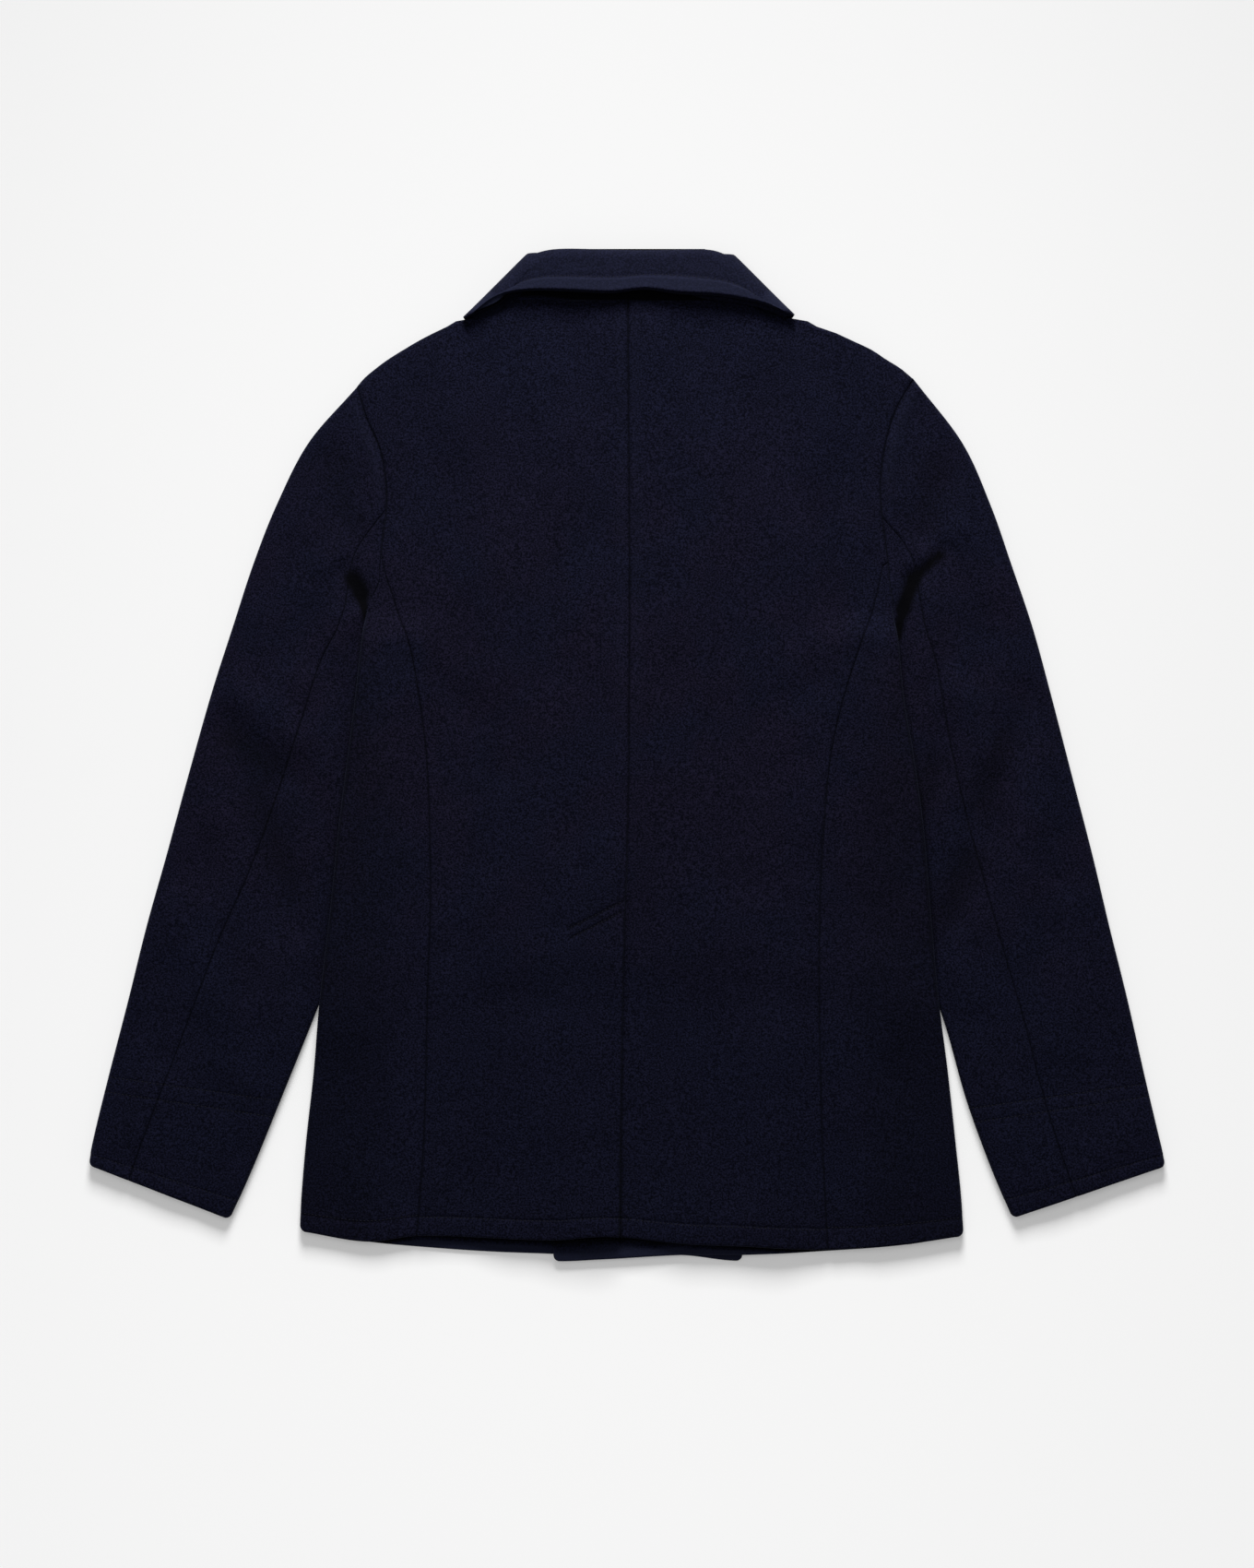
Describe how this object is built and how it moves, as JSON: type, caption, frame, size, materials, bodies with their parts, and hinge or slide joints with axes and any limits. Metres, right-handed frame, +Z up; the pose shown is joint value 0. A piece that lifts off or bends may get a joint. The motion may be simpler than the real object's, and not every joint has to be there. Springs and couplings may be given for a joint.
{
  "type": "reefer jacket",
  "caption": "Double-breasted reefer jacket in dark navy melton, laid flat face down with its back up, long sleeves at its sides, a turned-down collar and a centre back vent.",
  "frame": {"origin": "on the surface that the jacket lies on, under the middle of its outline", "axes": "+X across the back towards the wearer's right, +Y towards the collar, +Z up off the surface, through the front and then the back"},
  "size_m": [0.864, 0.8095, 0.0235],
  "materials": {
    "melton": "dense matt wool with a short brushed nap",
    "button": "satin four-hole button"
  },
  "bodies": {
    "root": {"back_left": "melton", "back_right": "melton", "side_body_left": "melton", "side_body_right": "melton", "forepart_left": "melton", "forepart_right": "melton", "lapel_left": "melton", "lapel_right": "melton", "top_sleeve_left": "melton", "under_sleeve_left": "melton", "top_sleeve_right": "melton", "under_sleeve_right": "melton", "collar_fall": "melton", "under_collar": "melton", "collar_stand": "melton", "button_1a": "button", "button_1b": "button", "button_2a": "button", "button_2b": "button", "button_3a": "button", "button_3b": "button"}
  },
  "joints": []
}
